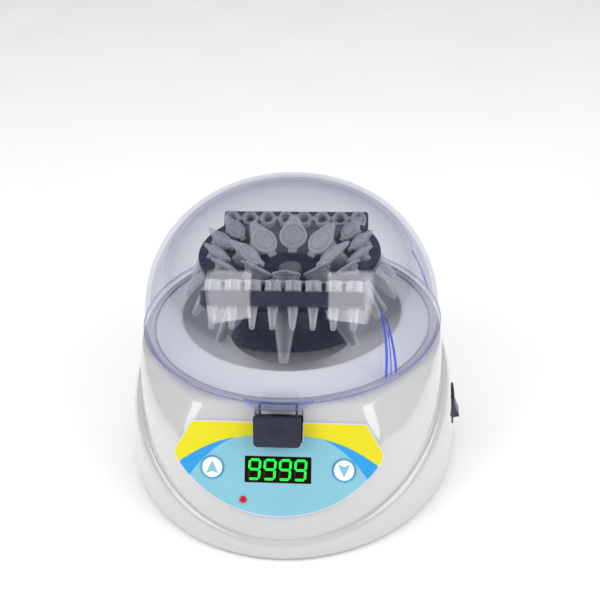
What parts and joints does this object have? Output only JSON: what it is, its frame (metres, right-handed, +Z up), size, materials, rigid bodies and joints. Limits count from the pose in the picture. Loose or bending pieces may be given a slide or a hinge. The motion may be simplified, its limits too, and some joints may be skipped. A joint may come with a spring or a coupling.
{
  "type": "laboratory centrifuge",
  "caption": "Small bench centrifuge with a hinged clear dome lid over a rotor loaded with capped tubes and tube strips, a sloping control panel and a side rocker switch.",
  "frame": {"origin": "middle of the footprint's bounding box, on the bench under the feet", "axes": "+Z up, +Y towards the hinge and inlet at the back, -Y towards the control panel, +X towards the rocker switch"},
  "size_m": [0.1636, 0.18, 0.1346],
  "materials": {
    "white": "glossy moulded",
    "navy": "satin moulded",
    "black": "satin moulded",
    "clear": "clear polished polycarbonate with a faint violet tint",
    "frosted": "frosted translucent polypropylene",
    "rubber": "matte",
    "steel": "satin metal",
    "label": "satin printed film in yellow and blues",
    "board": "green glass-fibre board",
    "red": "diffused lamp",
    "keytop": "satin membrane dome",
    "seal": "soft matte foam",
    "copper": "pressed motor can"
  },
  "bodies": {
    "housing": {"lower_housing": "white", "upper_housing": "white", "base_plate": "white", "rubber_foot_1": "rubber", "rubber_foot_2": "rubber", "rubber_foot_3": "rubber", "rubber_foot_4": "rubber", "base_screw_1": "steel", "base_screw_2": "steel", "base_screw_3": "steel", "base_screw_4": "steel", "chamber_bowl": "white", "lid_seal": "seal", "hinge_bracket": "navy", "hinge_pin": "steel", "latch_frame": "navy", "lid_switch": "black", "panel_label": "label", "display_window": "black", "led_display": "black", "status_led": "red", "control_board": "board", "up_switch": "black", "down_switch": "black", "motor_mount": "steel", "motor_damper_1": "rubber", "motor_damper_2": "rubber", "motor_damper_3": "rubber", "motor_body": "copper", "supply_board": "board", "switch_frame": "navy", "power_inlet": "black"},
    "lid": {"dome_lid": "clear"},
    "rotor_head": {"motor_shaft": "steel", "rotor": "navy", "rotor_nut": "navy", "tube_large_1": "frosted", "tube_large_2": "frosted", "tube_large_3": "frosted", "tube_large_4": "frosted", "tube_large_5": "frosted", "tube_large_6": "frosted", "tube_large_7": "frosted", "tube_large_8": "frosted", "tube_small_1": "frosted", "tube_small_2": "frosted", "tube_small_3": "frosted", "tube_small_4": "frosted", "tube_small_5": "frosted", "tube_small_6": "frosted", "tube_small_7": "frosted", "tube_small_8": "frosted", "pcr_strip_front": "frosted", "pcr_strip_rear": "frosted"},
    "latch": {"latch_button": "navy"},
    "up_key_body": {"up_key": "keytop"},
    "down_key_body": {"down_key": "keytop"},
    "rocker": {"power_rocker": "navy"}
  },
  "joints": [
    {"name": "lid_hinge", "type": "hinge", "parent": "housing", "child": "lid", "pos_m": [-0.00176, 0.08405, 0.0686], "axis": [-1, 0, 0], "range_deg": [0, 85]},
    {"name": "rotor_spin", "type": "hinge", "parent": "housing", "child": "rotor_head", "pos_m": [-0.00176, 0.00745, 0.06], "axis": [0, 0, 1], "continuous": true},
    {"name": "latch_press", "type": "slide", "parent": "housing", "child": "latch", "axis": [0, 1, 0], "range_m": [0, 0.002], "stiffness_N_per_m": 400},
    {"name": "up_key_press", "type": "slide", "parent": "housing", "child": "up_key_body", "axis": [0, 0.8572, -0.515], "range_m": [0, 0.0005], "stiffness_N_per_m": 1000},
    {"name": "down_key_press", "type": "slide", "parent": "housing", "child": "down_key_body", "axis": [0, 0.8572, -0.515], "range_m": [0, 0.0005], "stiffness_N_per_m": 1000},
    {"name": "rocker_flip", "type": "hinge", "parent": "housing", "child": "rocker", "pos_m": [0.07744, 0.00345, 0.0195], "axis": [0, 1, 0], "range_deg": [0, 28]}
  ]
}
